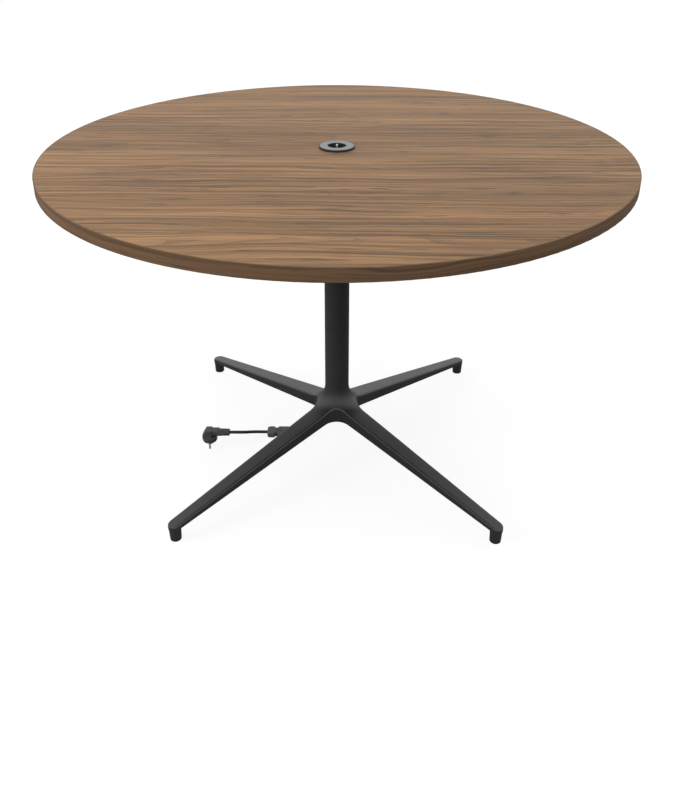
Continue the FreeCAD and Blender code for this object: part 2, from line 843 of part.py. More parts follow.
def biarc(start, heading, end, last_heading):
    """Two arcs that join two points with given headings."""
    gap = end - start
    both = heading + last_heading
    drop = gap.dot(both)
    spread = 2 * (1 - heading.dot(last_heading))
    reach = (math.sqrt(drop * drop + spread * gap.dot(gap)) - drop) / spread
    joint = (start + heading * reach + end - last_heading * reach) * 0.5
    first = arc_from(start, heading, joint)
    second = arc_from(end, last_heading * -1, joint)
    back = second.toShape()
    points = [back.valueAt(back.LastParameter),
              back.valueAt((back.FirstParameter + back.LastParameter) / 2),
              back.valueAt(back.FirstParameter)]
    return [first.toShape(), Part.Arc(*points).toShape()]


def coil_stations(level, climb, pitch):
    """Point and heading at each quarter turn: in on the lower layer, out on the upper one."""
    outer = dim("coil_outer_radius").number
    middle = round(4 * COIL_TURNS_PER_LAYER) + 1
    stations = []
    for quarter in range(2 * middle + 1):
        radius = outer - pitch / 4 * (middle - abs(quarter - middle))
        height = level if quarter < middle else level + climb
        slope = 0.0
        if quarter == middle:
            height = level + climb / 2
            slope = 1.5 * climb / (math.pi * radius)
        angle = math.radians(90 * quarter)
        spot = Vector(COIL_PLACE[0] + radius * math.cos(angle),
                      COIL_PLACE[1] + radius * math.sin(angle), height)
        heading = Vector(-math.sin(angle), math.cos(angle), slope)
        heading.normalize()
        stations.append((spot, heading))
    return stations


def coil_edges(level, climb, pitch):
    """Path of the coil: a straight end, quarter turns as biarcs, and a straight end."""
    lead = dim("cord_diameter").number
    stations = coil_stations(level, climb, pitch)
    first, first_way = stations[0]
    last, last_way = stations[-1]
    edges = [Part.LineSegment(first - first_way * lead, first).toShape()]
    for (start, way), (end, end_way) in zip(stations, stations[1:]):
        edges += biarc(start, way, end, end_way)
    edges.append(Part.LineSegment(last, last + last_way * lead).toShape())
    return edges


def least_gap(edges, spacing=2.0):
    """Least clear gap of a wound cord to itself, measured on points along its path."""
    wire = Part.Wire(edges)
    points = wire.discretize(Distance=spacing)
    skip = int(math.pi * dim("coil_outer_radius").number / 2 / spacing)
    nearest = min(one.distanceToPoint(other)
                  for index, one in enumerate(points) for other in points[index + skip:])
    return nearest - dim("cord_diameter").number


def corners_of(route):
    return [Vector(*corner) for corner in route]


def build_cords():
    floor_level = cord_radius.number + dim("floor_gap").number
    pitch = dim("cord_diameter").number + dim("coil_gap").number
    coil_level = floor_level + dim("tie_thickness").number + dim("part_gap").number
    coil = coil_edges(coil_level, pitch, pitch)
    print(f"cord_coil: least gap to itself {least_gap(coil):.2f}")
    coil_start = coil[0].valueAt(coil[0].FirstParameter)
    coil_end = coil[-1].valueAt(coil[-1].LastParameter)
    exit_way = spout_lean.multVec(Z_AXIS)
    exit_point = exit_way * (dim("spout_length").number + dim("relief_length").number)
    exit_point += Vector(0, 0, spout_level.number)
    drop = [exit_point, exit_point + exit_way * END_RUN, *corners_of(DROP_ROUTE),
            coil_start - Vector(0, END_RUN, 0), coil_start]
    lead_end = coupler_spot(dim("coupler_half_length") * 2)
    lead = [coil_end, coil_end - Vector(0, END_RUN, 0), *corners_of(LEAD_ROUTE), lead_end]
    tail_end = Vector(PLUG_PLACE[0], PLUG_PLACE[1], plug_axis_level.number)
    tail_end += Vector(dim("plug_neck_reach").number + dim("plug_sleeve_length").number, 0, 0)
    tail = [coupler_spot(ZERO), *corners_of(TAIL_ROUTE), tail_end]
    return [tube("cord_drop", rounded_path("cord_drop", drop)),
            tube("cord_coil", coil),
            tube("cord_lead", rounded_path("cord_lead", lead)),
            tube("cord_tail", rounded_path("cord_tail", tail)),
            build_tie(coil_level, pitch)]


def build_tie(coil_level, pitch):
    """Strap round the coil's turns, beside the coil's middle and away from its ends."""
    spread = pitch * (COIL_TURNS_PER_LAYER + 0.5)
    gap = dim("part_gap").number
    thick = dim("tie_thickness").number
    width = dim("tie_width").number
    low = coil_level - cord_radius.number - gap
    high = coil_level + pitch + cord_radius.number + gap
    outer = dim("coil_outer_radius").number + cord_radius.number + gap
    inner = outer - spread - 2 * cord_radius.number - 2 * gap
    start = Vector(COIL_PLACE[0] - width / 2, COIL_PLACE[1] + inner, low)
    space = Part.makeBox(width, outer - inner, high - low, start)
    shell = Part.makeBox(width, outer - inner + 2 * thick, high - low + 2 * thick,
                         start - Vector(0, thick, thick))
    return plain("cord_tie", shell.cut(space))


# In-line coupler on the floor

coupler_low = dim("floor_gap")
coupler_axis = coupler_low + dim("coupler_height") / 2


def coupler_spot(along):
    return Vector(COUPLER_PLACE[0] + along.number, COUPLER_PLACE[1], coupler_axis.number)


def coupler_half(name, start, way, waisted):
    """Flat half of the coupler from its cord to the joint, with a collar and waist if asked."""
    half = dim("coupler_width") / 2
    waist = dim("coupler_waist_width") / 2
    collar = dim("coupler_collar_length")
    shoulder = collar + dim("coupler_waist_length")
    notch = [(collar, half), (collar, waist), (shoulder, waist), (shoulder, half)] if waisted else []
    side = [(ZERO, half), *notch, (dim("coupler_half_length"), half)]
    outline = side + [(along, ZERO - across) for along, across in reversed(side)]
    plan = new_body(f"{name}_plan")
    sketch = new_sketch(plan, "XY_Plane")
    draw_outline(sketch, [(along * way, across) for along, across in outline])
    pad = plan.newObject("PartDesign::Pad", "pad")
    pad.Profile = sketch
    bind(pad, "Length", dim("coupler_height"))
    place(plan, start, as_size(COUPLER_PLACE[1]), coupler_low)
    shaped = rounded(f"{name}_corners", plan, dim("coupler_corner"),
                     lambda edge: upright(edge) and abs(edge.Vertexes[0].X - start.number) < 1e-6)
    if waisted:
        shaped = rounded(f"{name}_waist", shaped, dim("coupler_waist_rounding"),
                         lambda edge: upright(edge) and waist_edge(edge, start, way))
    end_level = (start + dim("coupler_half_length") * way).number
    return rounded(name, shaped, dim("coupler_rounding"), lambda edge: rim_edge(edge, end_level))


def upright(edge):
    """True for a straight edge along Z."""
    ends = [vertex.Point for vertex in edge.Vertexes]
    return len(ends) == 2 and math.hypot(ends[0].x - ends[1].x, ends[0].y - ends[1].y) < 1e-6


def waist_edge(edge, start, way):
    """True for an upright edge at either end of a coupler half's waist."""
    along = (edge.Vertexes[0].X - start.number) * way
    collar = dim("coupler_collar_length").number
    return any(abs(along - place) < 1e-6 for place in (collar, collar + dim("coupler_waist_length").number))


def rim_edge(edge, end_level):
    """True for the upper and lower edges of a coupler half, apart from those at the joint."""
    levels = (coupler_low.number, (coupler_low + dim("coupler_height")).number)
    at_joint = all(abs(vertex.X - end_level) < 1e-6 for vertex in edge.Vertexes)
    return not at_joint and any(all(abs(vertex.Z - level) < 1e-6 for vertex in edge.Vertexes)
                                for level in levels)


def build_coupler():
    x_place = as_size(COUPLER_PLACE[0])
    length = dim("coupler_half_length")
    plug_half = coupler_half("coupler_plug", x_place, 1, True)
    socket_half = coupler_half("coupler_socket", x_place + length * 2, -1, False)
    latch = block("coupler_latch", dim("latch_length"), dim("latch_width"), dim("latch_height"),
                  x=x_place + length - dim("latch_length") / 2,
                  y=as_size(COUPLER_PLACE[1]) - dim("latch_width") / 2,
                  z=coupler_low + dim("coupler_height"))
    return [plug_half, socket_half, latch]


# Angled plug standing on its pins

plug_face = dim("floor_gap") + dim("plug_pin_length")
plug_head_low = plug_face + dim("plug_skirt_height")
plug_axis_level = plug_head_low + dim("plug_head_height") / 2


def plug_head(x_place, y_place):
    """Upper half of the plug: round behind, flat to the cord, its back slanted."""
    radius = dim("plug_diameter") / 2
    head_top = plug_head_low + dim("plug_head_height")
    side = new_body("plug_side")
    sketch = new_sketch(side, "XZ_Plane")
    draw_outline(sketch, [
        (ZERO - radius, plug_head_low),
        (dim("plug_head_reach"), plug_head_low),
        (dim("plug_head_reach"), head_top),
        (dim("plug_slant") - radius, head_top),
        (ZERO - radius, plug_head_low + dim("plug_head_lip")),
    ])
    pad = side.newObject("PartDesign::Pad", "pad")
    pad.Profile = sketch
    bind(pad, "Length", dim("plug_head_width"))
    pad.Midplane = True
    place(side, x_place, y_place)
    plan = cylinder("plug_round", radius, dim("plug_head_height"), x_place, y_place, plug_head_low)
    soft = dim("plug_head_rounding")
    return rounded("plug_head", common("plug_head_plain", side, plan), soft,
                   lambda edge: edge_above(edge, head_top - soft))


def plug_neck(x_place, y_place):
    """Short neck between the plug's head and its sleeve, round below and flat on top."""
    barrel = doc.addObject("Part::Cylinder", "plug_neck_barrel")
    bind(barrel, "Radius", dim("plug_sleeve_diameter") / 2)
    bind(barrel, "Height", dim("plug_neck_reach"))
    barrel.Placement.Rotation = FreeCAD.Rotation(Vector(0, 1, 0), 90)
    place(barrel, x_place, y_place, plug_axis_level)
    crown = block("plug_neck_crown", dim("plug_neck_reach"), dim("plug_neck_width"), dim("plug_neck_rise"),
                  x=x_place, y=y_place - dim("plug_neck_width") / 2, z=plug_axis_level)
    soft = dim("plug_rounding")
    crest = plug_axis_level + dim("plug_neck_rise")
    return [barrel, rounded("plug_neck_top", crown, soft, lambda edge: edge_above(edge, crest - soft))]


def build_plug():
    x_place = as_size(PLUG_PLACE[0])
    y_place = as_size(PLUG_PLACE[1])
    radius = dim("plug_diameter") / 2
    low_radius = radius - dim("plug_draft")
    soft = dim("plug_rounding")
    skirt = revolved("plug_skirt", [
        (ZERO, plug_face),
        (low_radius - soft, plug_face),
        (low_radius, plug_face + soft),
        (radius, plug_head_low),
        (ZERO, plug_head_low),
    ], {1: (low_radius - soft, plug_face + soft, soft)})
    place(skirt, x_place, y_place)
    solid = fuse("plug_solid", skirt, plug_head(x_place, y_place), *plug_neck(x_place, y_place))
    half = dim("pin_spacing") / 2
    pins = []
    bores = []
    for name, side in (("near", ZERO - half), ("far", half)):
        pin_radius = dim("plug_pin_diameter") / 2
        pin = revolved(f"plug_pin_{name}", [
            (ZERO, dim("floor_gap")),
            (pin_radius / 2, dim("floor_gap")),
            (pin_radius, dim("floor_gap") + pin_radius / 2),
            (pin_radius, plug_head_low),
            (ZERO, plug_head_low),
        ])
        pins.append(place(pin, x_place, y_place + side))
        bores.append(cylinder(f"pin_bore_{name}", pin_radius + dim("press_gap"),
                              dim("plug_skirt_height"), x=x_place, y=y_place + side, z=plug_face))
    clips = earth_clips(x_place, y_place, ZERO)
    grooves = earth_clips(x_place, y_place, dim("press_gap"))
    body = cut("plug_body", solid, fuse("plug_cuts", *bores, *grooves))
    sleeve = doc.addObject("Part::Cone", "plug_sleeve")
    bind(sleeve, "Radius1", dim("plug_sleeve_diameter") / 2)
    bind(sleeve, "Radius2", dim("plug_sleeve_tip_diameter") / 2)
    bind(sleeve, "Height", dim("plug_sleeve_length"))
    sleeve.Placement.Rotation = FreeCAD.Rotation(Vector(0, 1, 0), 90)
    place(sleeve, x_place + dim("plug_neck_reach"), y_place, plug_axis_level)
    return [body, sleeve, group("plug_pins", pins), group("plug_earth_clips", clips)]


def edge_above(edge, level):
    return all(vertex.Point.z > level.number for vertex in edge.Vertexes)


def group(name, pieces):
    made = doc.addObject("Part::Compound", name)
    made.Links = pieces
    return made


def earth_clips(x_place, y_place, play):
    """Two springy strips let into the plug's skirt, on the line of the cord."""
    radius = dim("plug_diameter") / 2
    thick = dim("clip_thickness") + play
    width = dim("clip_width") + play * 2
    high = dim("plug_skirt_height") - dim("plug_rounding") * 2 + play * 2
    made = []
    for word, x in (("back", ZERO - radius), ("front", radius - thick)):
        kind = "groove" if play.number else "clip"
        made.append(block(f"earth_{kind}_{word}", thick, width, high, x=x_place + x,
                          y=y_place - width / 2, z=plug_face + dim("plug_rounding") - play))
    return made


# Assemble, check and write the pieces

pieces = (build_top() + build_dish() + build_column() + build_base() + build_glides()
          + build_socket() + build_feed() + build_cords() + build_coupler() + build_plug())
doc.recompute()
for item in doc.Objects:
    if "Invalid" in item.State or "Error" in item.State:
        raise RuntimeError(f"{item.Name} failed: {item.State}")
os.makedirs("parts", exist_ok=True)
for piece in pieces:
    shape = piece.Shape
    if shape.isNull() or not shape.isValid() or not shape.Solids:
        raise RuntimeError(f"{piece.Label} has no valid solid")
    shape.exportStep(os.path.join("parts", piece.Label + ".step"))
    box = shape.BoundBox
    print(f"{piece.Label}: {len(shape.Solids)} solid(s), volume {shape.Volume:.1f}, "
          f"z {box.ZMin:.2f} to {box.ZMax:.2f}")
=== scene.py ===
"""Looks of the round conference table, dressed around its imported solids, in metres."""

import logging
import math
from dataclasses import dataclass
from enum import Enum
from typing import ClassVar, Iterable, Sequence

import bmesh
import bpy
from mathutils import Matrix, Vector

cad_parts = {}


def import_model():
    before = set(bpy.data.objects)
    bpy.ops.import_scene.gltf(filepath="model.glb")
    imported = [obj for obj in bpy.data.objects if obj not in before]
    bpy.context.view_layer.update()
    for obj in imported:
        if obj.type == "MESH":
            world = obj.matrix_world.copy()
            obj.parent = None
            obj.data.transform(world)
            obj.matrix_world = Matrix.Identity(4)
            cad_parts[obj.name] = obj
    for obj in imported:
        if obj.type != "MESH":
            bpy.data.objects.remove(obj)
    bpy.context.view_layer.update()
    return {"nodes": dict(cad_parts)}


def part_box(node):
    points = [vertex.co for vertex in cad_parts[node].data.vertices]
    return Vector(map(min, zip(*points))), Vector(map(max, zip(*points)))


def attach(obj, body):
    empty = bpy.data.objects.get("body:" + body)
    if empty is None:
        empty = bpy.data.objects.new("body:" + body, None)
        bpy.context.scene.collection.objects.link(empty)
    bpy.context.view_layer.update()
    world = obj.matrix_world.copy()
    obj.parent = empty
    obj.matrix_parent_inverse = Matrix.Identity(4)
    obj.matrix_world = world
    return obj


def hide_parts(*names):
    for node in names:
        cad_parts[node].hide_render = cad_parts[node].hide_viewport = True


LOG = logging.getLogger("round_table")
Point = tuple[float, float, float]
Span = tuple[float, float]
Colour = tuple[float, float, float, float]
Socket = bpy.types.NodeSocket
Nodes = dict[str, bpy.types.Object]
NodesByFinish = dict[str, tuple[str, ...]]
IMAGE_WIDTH = 675
IMAGE_HEIGHT = 800
TABLE_BODY = "table"
CORNERS = ("front_left", "front_right", "rear_left", "rear_right")
WHITE: Colour = (1.0, 1.0, 1.0, 1.0)
FULL_RANGE: Span = (0.0, 1.0)
TURN_STEPS = 48
TURN_MERGE = 1e-7
PIECE_MERGE = 1e-6
SHARP_ANGLE = math.radians(40.0)


class Grain(Enum):
    """Which way the wood grain runs on a surface."""

    ALONG_X = "along_x"
    ROUND_EDGE = "round_edge"


class Slot(Enum):
    """Material slots of the record that the scene's own pieces belong to."""

    ZINC = "zinc_steel"
    PLUG = "plug_plastic"
    JACKET = "cord_jacket"


def rgb(red: int, green: int, blue: int) -> Colour:
    """Linear colour of an eight-bit display colour.

    Args:
        red: Red from 0 to 255.
        green: Green from 0 to 255.
        blue: Blue from 0 to 255.

    Returns:
        Linear colour with full alpha.
    """
    def linear(value: int) -> float:
        """Linear share of one channel, by the display standard's own curve."""
        share = value / 255
        return share / 12.92 if share <= 0.04045 else ((share + 0.055) / 1.055) ** 2.4
    return (linear(red), linear(green), linear(blue), 1.0)


def scaled(colour: Colour, factor: float) -> Colour:
    """Linear colour made darker or lighter by a factor, at most white, with full alpha."""
    red, green, blue = (min(1.0, channel * factor) for channel in colour[:3])
    return (red, green, blue, 1.0)


class TreePen:
    """Short way to add and join nodes in one node tree."""

    # Sockets of the mix node's colours, which it keeps beside those for numbers and vectors
    mix_share = 0
    mix_first = 6
    mix_second = 7
    mix_result = 2

    def __init__(self, tree: bpy.types.NodeTree) -> None:
        """Keep the tree to work in."""
        self.tree = tree

    def add(self, kind: str, **values: object) -> bpy.types.Node:
        """Add a node and set its properties and inputs.

        Args:
            kind: Blender's node type.
            **values: Node properties, or inputs by name.

        Returns:
            The new node.
        """
        node = self.tree.nodes.new(kind)
        for key, value in values.items():
            if hasattr(node, key):
                setattr(node, key, value)
            else:
                node.inputs[key].default_value = value
        return node

    def feed(self, value: Socket | float | Sequence[float], target: Socket) -> None:
        """Join a socket to an input, or set the input to a plain value.

        Args:
            value: Socket or plain value.
            target: Input that takes it.
        """
        if isinstance(value, Socket):
            self.tree.links.new(value, target)
        else:
            target.default_value = value

    def split(self, place: Socket) -> tuple[Socket, ...]:
        """The three coordinates of a place.

        Args:
            place: Coordinates.

        Returns:
            The sockets of X, Y and Z.
        """
        node = self.add("ShaderNodeSeparateXYZ")
        self.feed(place, node.inputs[0])
        return tuple(node.outputs)

    def stretched(self, place: Socket, scale: Point, shift: Point) -> Socket:
        """Coordinates stretched and shifted by a mapping.

        Args:
            place: Coordinates to map.
            scale: Scale along each axis.
            shift: Shift along each axis.

        Returns:
            The mapped coordinates.
        """
        node = self.add("ShaderNodeMapping", Scale=scale, Location=shift)
        self.feed(place, node.inputs["Vector"])
        return node.outputs["Vector"]

    def noise(self, place: Socket, scale: float, detail: float, roughness: float = 0.55) -> Socket:
        """Noise value on given coordinates.

        Args:
            place: Coordinates.
            scale: Noise scale.
            detail: Number of octaves.
            roughness: Weight of the finer octaves.

        Returns:
            The noise value socket.
        """
        node = self.add("ShaderNodeTexNoise", Scale=scale, Detail=detail, Roughness=roughness)
        self.feed(place, node.inputs["Vector"])
        return node.outputs["Fac"]

    def ramp(self, value: Socket, stops: Sequence[tuple[float, Colour]]) -> Socket:
        """Colour ramp of a value.

        Args:
            value: Value from 0 to 1.
            stops: Place and colour of each stop.

        Returns:
            The colour socket.
        """
        node = self.add("ShaderNodeValToRGB")
        elements = node.color_ramp.elements
        while len(elements) < len(stops):
            elements.new(0.5)
        for element, (place, colour) in zip(elements, stops):
            element.position = place
            element.color = colour
        self.feed(value, node.inputs["Fac"])
        return node.outputs["Color"]

    def mix(self, share: Socket, first: Socket, second: Colour) -> Socket:
        """Mix two colours.

        Args:
            share: Share of the second colour.
            first: First colour.
            second: Second colour.

        Returns:
            The mixed colour socket.
        """
        node = self.add("ShaderNodeMix", data_type="RGBA")
        self.feed(share, node.inputs[self.mix_share])
        self.feed(first, node.inputs[self.mix_first])
        self.feed(second, node.inputs[self.mix_second])
        return node.outputs[self.mix_result]

    def math(self, operation: str, first: Socket, second: Socket | float = 0.0) -> Socket:
        """Result of a math node.

        Args:
            operation: Blender's name of the operation.
            first: First operand.
            second: Second operand.

        Returns:
            The result socket.
        """
        node = self.add("ShaderNodeMath", operation=operation)
        self.feed(first, node.inputs[0])
        self.feed(second, node.inputs[1])
        return node.outputs[0]

    def span(self, value: Socket, old: Span, new: tuple[Socket | float, float]) -> Socket:
        """Value mapped from one range to another.

        Args:
            value: Value to map.
            old: Ends of the old range.
            new: Ends of the new range.

        Returns:
            The mapped value socket.
        """
        node = self.add("ShaderNodeMapRange")
        for name, setting in zip(("Value", "From Min", "From Max", "To Min", "To Max"), (value, *old, *new)):
            self.feed(setting, node.inputs[name])
        return node.outputs["Result"]


class MaterialPen(TreePen):
    """Node pen of a new material with a principled shader."""

    def __init__(self, name: str) -> None:
        """Start the material.

        Args:
            name: Name of the material.
        """
        self.material = bpy.data.materials.new(name)
        self.material.use_nodes = True
        super().__init__(self.material.node_tree)
        self.shader = self.tree.nodes["Principled BSDF"]

    def set(self, name: str, value: Socket | float | Sequence[float]) -> None:
        """Feed one input of the shader."""
        self.feed(value, self.shader.inputs[name])

    def object_place(self) -> Socket:
        """Object coordinates of the surface."""
        return self.add("ShaderNodeTexCoord").outputs["Object"]

    def bump(self, height: Socket, strength: float, distance: float) -> None:
        """Bump of the shader from a height.

        Args:
            height: Height value.
            strength: Share of the bump.
            distance: Depth of the bump in metres.
        """
        node = self.add("ShaderNodeBump", Strength=strength, Distance=distance)
        self.feed(height, node.inputs["Height"])
        self.set("Normal", node.outputs["Normal"])


@dataclass(frozen=True)
class GrainNoise:
    """Noise that is drawn out along the grain."""

    along: float
    across: float
    detail: float = 2.0
    shift_along: float = 0.0
    shift_across: float = 0.0
    roughness: float = 0.55

    def value(self, pen: TreePen, place: Socket) -> Socket:
        """Noise value at a place.

        Args:
            pen: Node pen of the material.
            place: Coordinates along the grain and across it.

        Returns:
            The noise value socket.
        """
        shift = (self.shift_along, self.shift_across, 0.0)
        drawn_out = pen.stretched(place, (self.along, self.across, 1.0), shift)
        return pen.noise(drawn_out, 1.0, self.detail, self.roughness)


@dataclass(frozen=True)
class GrainLines:
    """One set of dark lines along the grain, strong in some zones and faint in others."""

    along: float
    across: float
    edge: Span
    share: float
    shift: float
    zone_across: float
    line_detail: float = 2.0
    line_shift: float = 4.1
    line_roughness: float = 0.45
    zone_along: float = 3.4
    zone_detail: float = 2.0
    zone_shift: float = 1.0
    zone_edge: Span = (0.38, 0.58)
    zone_strength: Span = (0.1, 1.0)

    def strength(self, pen: TreePen, place: Socket) -> Socket:
        """Share of the lines' colour at a place.

        Args:
            pen: Node pen of the material.
            place: Coordinates along the wandering grain.

        Returns:
            The share socket.
        """
        lines = GrainNoise(self.along, self.across, self.line_detail, self.shift,
                           self.line_shift, self.line_roughness).value(pen, place)
        zones = GrainNoise(self.zone_along, self.zone_across, self.zone_detail, self.shift,
                           self.zone_shift).value(pen, place)
        return pen.math("MULTIPLY", pen.span(lines, self.edge, (0.0, self.share)),
                        pen.span(zones, self.zone_edge, self.zone_strength))


@dataclass(frozen=True)
class WalnutFinish:
    """Lacquered walnut veneer with streaks, figure and fine pores along the grain."""

    name: str
    grain: Grain
    pale: Colour
    plain: Colour
    shade: Colour
    streak: Colour
    roughness: float = 0.48
    roughness_fall: float = 0.05
    roughness_rise: float = 0.08
    roughness_edge: Span = (0.2, 0.8)
    specular: float = 0.15
    relief_strength: float = 0.12
    relief_depth: float = 0.0004
    edge_radius: float = 0.6
    sways: tuple[tuple[GrainNoise, float], ...] = (
        (GrainNoise(1.8, 8.0), 0.011),
        (GrainNoise(4.5, 24.0), 0.003),
    )
    sway_edge: Span = (0.3, 0.7)
    broad: GrainNoise = GrainNoise(0.6, 11.0)
    broad_edge: Span = (0.40, 0.66)
    broad_share: float = 0.45
    bands: GrainNoise = GrainNoise(1.2, 90.0, 5.0, 3.1, 7.7, 0.62)
    band_stops: tuple[float, float, float, float] = (0.34, 0.47, 0.58, 0.74)
    figure: GrainNoise = GrainNoise(0.9, 15.0, 1.0, 5.3, 2.2, 0.35)
    ring_count: float = 17.0
    ring_share: float = 0.42
    ring_edge: Span = (0.0, 0.4)
    ring_zones: GrainNoise = GrainNoise(0.9, 7.0, 1.0, 8.1, 3.3)
    ring_zone_edge: Span = (0.42, 0.58)
    ring_zone_strength: Span = (0.15, 1.0)
    line_sets: tuple[GrainLines, ...] = (
        GrainLines(0.7, 125.0, edge=(0.59, 0.63), share=0.64, shift=9.3, zone_across=9.0),
        GrainLines(1.2, 200.0, edge=(0.58, 0.625), share=0.62, shift=23.9, zone_across=14.0),
        GrainLines(2.0, 340.0, edge=(0.57, 0.63), share=0.56, shift=41.7, zone_across=21.0),
        GrainLines(16.0, 190.0, edge=(0.63, 0.68), share=0.8, shift=57.3, zone_across=30.0),
    )
    fibres: GrainNoise = GrainNoise(6.0, 460.0, 2.0, 1.7, 2.9)
    fibre_edge: Span = (0.3, 0.7)
    fibre_share: float = 0.34
    pores: GrainNoise = GrainNoise(30.0, 1100.0, 1.0)
    pore_edge: Span = (0.60, 0.72)
    pore_share: float = 0.3

    def make(self) -> bpy.types.Material:
        """Build the material.

        Returns:
            The wood material.
        """
        pen = MaterialPen(self.name)
        place = self.sway(pen, self.grain_place(pen))
        fibres = self.fibres.value(pen, place)
        pores = self.pores.value(pen, place)
        colour = self.add_rings(pen, place, self.ground(pen, place))
        for lines in self.line_sets:
            colour = pen.mix(lines.strength(pen, place), colour, self.streak)
        colour = pen.mix(pen.span(fibres, self.fibre_edge, (0.0, self.fibre_share)), colour, self.shade)
        colour = pen.mix(pen.span(pores, self.pore_edge, (0.0, self.pore_share)), colour, self.streak)
        pen.set("Base Color", colour)
        roughness = (self.roughness - self.roughness_fall, self.roughness + self.roughness_rise)
        pen.set("Roughness", pen.span(fibres, self.roughness_edge, roughness))
        pen.set("Specular IOR Level", self.specular)
        pen.bump(pen.math("ADD", fibres, pores), self.relief_strength, self.relief_depth)
        return pen.material

    def grain_place(self, pen: MaterialPen) -> Socket:
        """Coordinates whose first axis follows the grain.

        Args:
            pen: Node pen of the material.

        Returns:
            Coordinates in metres, along the grain and across it.
        """
        place = pen.object_place()
        if self.grain is Grain.ALONG_X:
            return place
        across_x, across_y, height = pen.split(place)
        angle = pen.math("ARCTAN2", across_y, across_x)
        joined = pen.add("ShaderNodeCombineXYZ")
        pen.feed(pen.math("MULTIPLY", angle, self.edge_radius), joined.inputs[0])
        pen.feed(height, joined.inputs[1])
        return joined.outputs[0]

    def sway(self, pen: TreePen, place: Socket) -> Socket:
        """Coordinates bent so that the grain wanders from side to side.

        Args:
            pen: Node pen of the material.
            place: Straight coordinates along the grain.

        Returns:
            The bent coordinates.
        """
        swayed = place
        for noise, amount in self.sways:
            shift = pen.add("ShaderNodeCombineXYZ")
            wander = pen.span(noise.value(pen, place), self.sway_edge, (-amount, amount))
            pen.feed(wander, shift.inputs[1])
            moved = pen.add("ShaderNodeVectorMath", operation="ADD")
            pen.feed(swayed, moved.inputs[0])
            pen.feed(shift.outputs[0], moved.inputs[1])
            swayed = moved.outputs[0]
        return swayed

    def ground(self, pen: TreePen, place: Socket) -> Socket:
        """Colour of the wood between its lines, in pale and dull bands.

        Args:
            pen: Node pen of the material.
            place: Coordinates along the wandering grain.

        Returns:
            The colour socket.
        """
        broad = self.broad.value(pen, place)
        colours = (self.shade, self.plain, self.pale, self.plain)
        banded = pen.ramp(self.bands.value(pen, place), tuple(zip(self.band_stops, colours)))
        return pen.mix(pen.span(broad, self.broad_edge, (0.0, self.broad_share)), banded, self.shade)

    def add_rings(self, pen: TreePen, place: Socket, colour: Socket) -> Socket:
        """Long pointed loops of the growth rings, sharp on one side and fading on the other.

        Args:
            pen: Node pen of the material.
            place: Coordinates along the wandering grain.
            colour: Colour below the rings.

        Returns:
            The colour socket.
        """
        figure = self.figure.value(pen, place)
        rings = pen.math("FRACT", pen.math("MULTIPLY", figure, self.ring_count))
        zones = self.ring_zones.value(pen, place)
        strength = pen.math("MULTIPLY", pen.span(rings, self.ring_edge, (self.ring_share, 0.0)),
                            pen.span(zones, self.ring_zone_edge, self.ring_zone_strength))
        return pen.mix(strength, colour, self.streak)


@dataclass(frozen=True)
class CoatFade:
    """Change of a coat's colour and shine between two heights."""

    heights: Span
    colour: Colour
    specular: float


@dataclass(frozen=True)
class GrainyFinish:
    """Moulded, coated or rolled surface with fine texture and slight cloudy variation."""

    name: str
    colour: Colour
    spread: float = 0.12
    roughness: float = 0.5
    roughness_spread: float = 0.08
    texture_scale: float = 1800.0
    texture_strength: float = 0.12
    texture_depth: float = 0.0002
    texture_detail: float = 2.0
    cloud_scale: float = 22.0
    cloud_detail: float = 3.0
    cloud_edge: Span = (0.3, 0.7)
    fleck_edge: Span = (0.35, 0.65)
    fleck_share: float = 0.35
    metallic: float = 0.0
    specular: float = 0.5
    thread_pitch: float = 0.0
    fade: CoatFade | None = None

    def make(self) -> bpy.types.Material:
        """Build the material.

        Returns:
            The surface material.
        """
        pen = MaterialPen(self.name)
        place = pen.object_place()
        cloud = pen.noise(place, self.cloud_scale, self.cloud_detail)
        texture = pen.noise(place, self.texture_scale, self.texture_detail)
        dark = scaled(self.colour, 1 - self.spread)
        light = scaled(self.colour, 1 + self.spread)
        colour = pen.ramp(cloud, tuple(zip(self.cloud_edge, (dark, light))))
        colour = pen.mix(pen.span(texture, self.fleck_edge, (0.0, self.fleck_share)), colour, dark)
        pen.set("Specular IOR Level", self.specular)
        if self.fade:
            height = pen.split(place)[2]
            share = pen.span(height, self.fade.heights, FULL_RANGE)
            colour = pen.mix(share, colour, self.fade.colour)
            shine = pen.span(height, self.fade.heights, (self.specular, self.fade.specular))
            pen.set("Specular IOR Level", shine)
        pen.set("Base Color", colour)
        roughness = (self.roughness - self.roughness_spread, self.roughness + self.roughness_spread)
        pen.set("Roughness", pen.span(cloud, self.cloud_edge, roughness))
        pen.set("Metallic", self.metallic)
        if self.thread_pitch:
            pen.bump(self.thread(pen, place), 1.0, self.thread_pitch / 2)
        else:
            pen.bump(texture, self.texture_strength, self.texture_depth)
        return pen.material

    def thread(self, pen: TreePen, place: Socket) -> Socket:
        """Height of a screw thread's ridges along Z.

        Args:
            pen: Node pen of the material.
            place: Object coordinates.

        Returns:
            Height from 0 at the root to 1 at the crest.
        """
        half_pitch = self.thread_pitch / 2
        ridge = pen.math("PINGPONG", pen.split(place)[2], half_pitch)
        return pen.math("DIVIDE", ridge, half_pitch)


